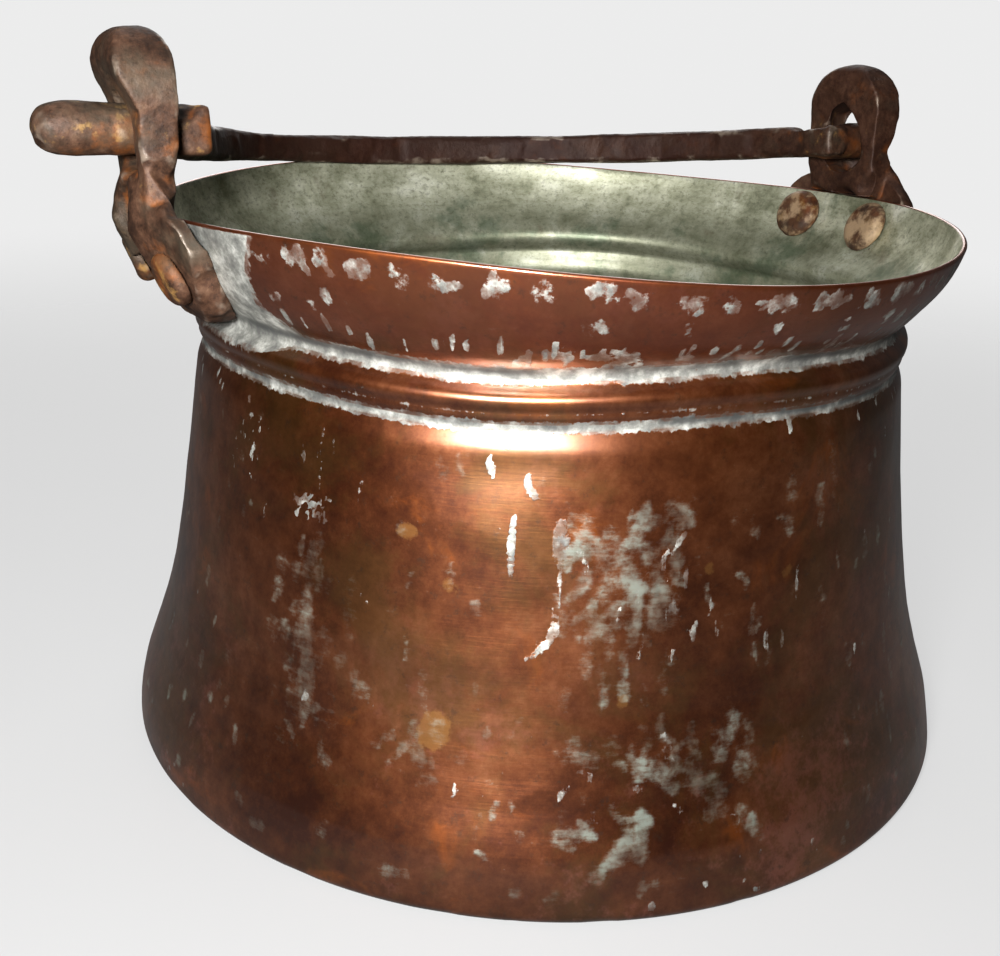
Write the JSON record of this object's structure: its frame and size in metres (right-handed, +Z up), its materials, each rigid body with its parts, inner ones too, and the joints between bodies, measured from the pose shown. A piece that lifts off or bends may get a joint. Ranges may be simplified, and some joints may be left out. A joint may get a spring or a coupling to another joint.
{
  "type": "copper pail",
  "caption": "Hand-raised copper pail with a flat base, waisted neck with rolled beads, flared lip, riveted iron ears and a swinging forged iron bail.",
  "frame": {"origin": "centre of the flat base, on the plane the pail stands on", "axes": "+Z up through the mouth; +X along the bail's hinge towards the right ear; +Y towards the side the bail is laid back on"},
  "size_m": [0.295, 0.275, 0.2165],
  "materials": {
    "copper": "aged copper with tin splashes outside, grey tin inside",
    "iron": "forged iron with brown rust"
  },
  "bodies": {
    "pail": {"vessel": "copper", "ear_left": "iron", "ear_right": "iron", "rivet_left_front": "iron", "rivet_left_back": "iron", "rivet_right_front": "iron", "rivet_right_back": "iron"},
    "bail": {"bail_handle": "iron"}
  },
  "joints": [
    {"name": "bail_hinge", "type": "hinge", "parent": "pail", "child": "bail", "pos_m": [0, 0, 0.1883], "axis": [0.9998, 0, -0.0175], "range_deg": [0, 193]}
  ]
}
